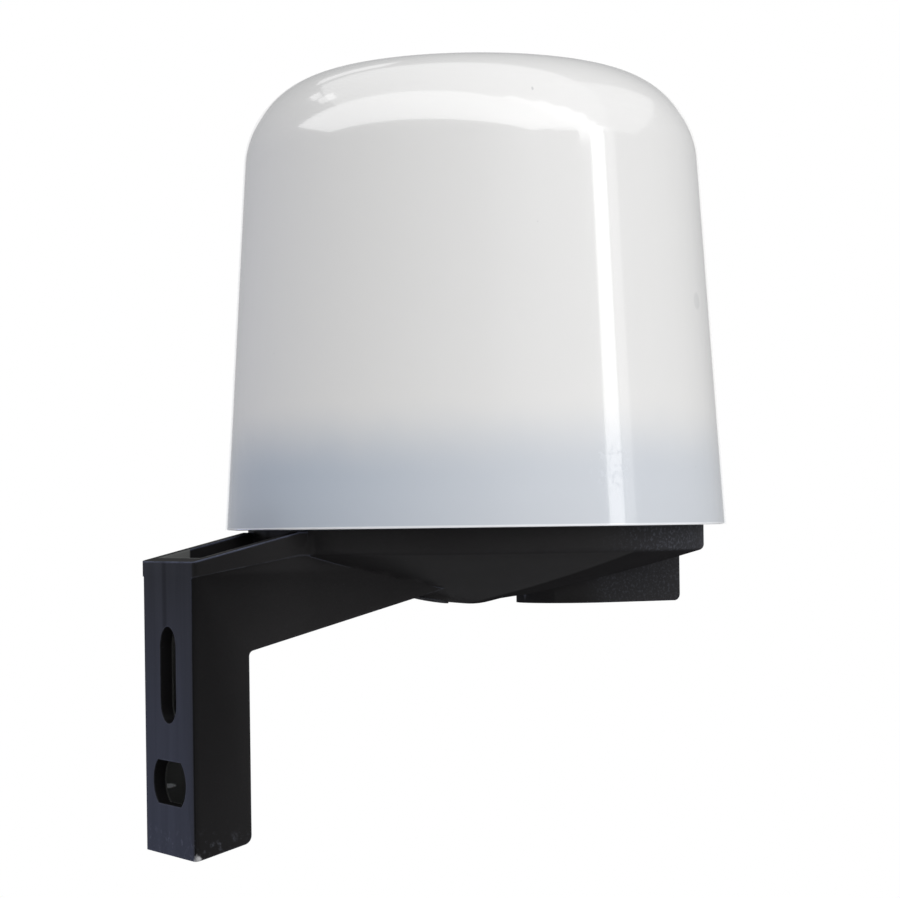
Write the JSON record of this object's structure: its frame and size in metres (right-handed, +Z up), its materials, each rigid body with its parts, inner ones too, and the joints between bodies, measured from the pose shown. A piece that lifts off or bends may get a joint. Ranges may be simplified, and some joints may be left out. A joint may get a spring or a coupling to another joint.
{
  "type": "photocell switch",
  "caption": "Wall-mounted dusk switch: a white opal dome over a black base, moulded with a cranked arm and a wall limb with a fixing slot and cable hole.",
  "frame": {"origin": "on the wall face in the middle plane, midway between the fixing slot's lower end and the cable hole's upper flat", "axes": "+X out of the wall towards the dome's axis, +Y across the bracket, +Z up along the dome's axis"},
  "size_m": [0.0882, 0.0754, 0.1149],
  "materials": {
    "black_plastic": "half-gloss black moulding",
    "opal_plastic": "glossy opal white",
    "seal_rubber": "matt black rubber",
    "board_laminate": "green solder mask",
    "zinc_steel": "zinc plated",
    "relay_case": "blue moulding",
    "capacitor_case": "red moulding",
    "can_sleeve": "dark blue sleeve",
    "black_resin": "moulded resin",
    "zener_glass": "amber glass",
    "blue_epoxy": "dipped epoxy",
    "resistor_lacquer": "tan lacquer",
    "white_plastic": "white moulding",
    "sensor_ceramic": "ceramic with a red track",
    "terminal_plastic": "cream moulding",
    "brass": "bright brass"
  },
  "bodies": {
    "root": {"base_bracket": "black_plastic", "dome_cover": "opal_plastic", "dome_seal": "seal_rubber", "inlet_grommet": "seal_rubber", "circuit_board": "board_laminate", "board_screws": "zinc_steel", "relay": "relay_case", "dropper_capacitor": "capacitor_case", "smoothing_capacitor": "can_sleeve", "rectifier_diodes": "black_resin", "zener_diode": "zener_glass", "surge_varistor": "blue_epoxy", "resistors": "resistor_lacquer", "driver_transistor": "black_resin", "sensor_tube": "white_plastic", "light_sensor": "sensor_ceramic", "terminal_block": "terminal_plastic", "terminal_clamps": "brass", "terminal_screws": "zinc_steel"}
  },
  "joints": []
}
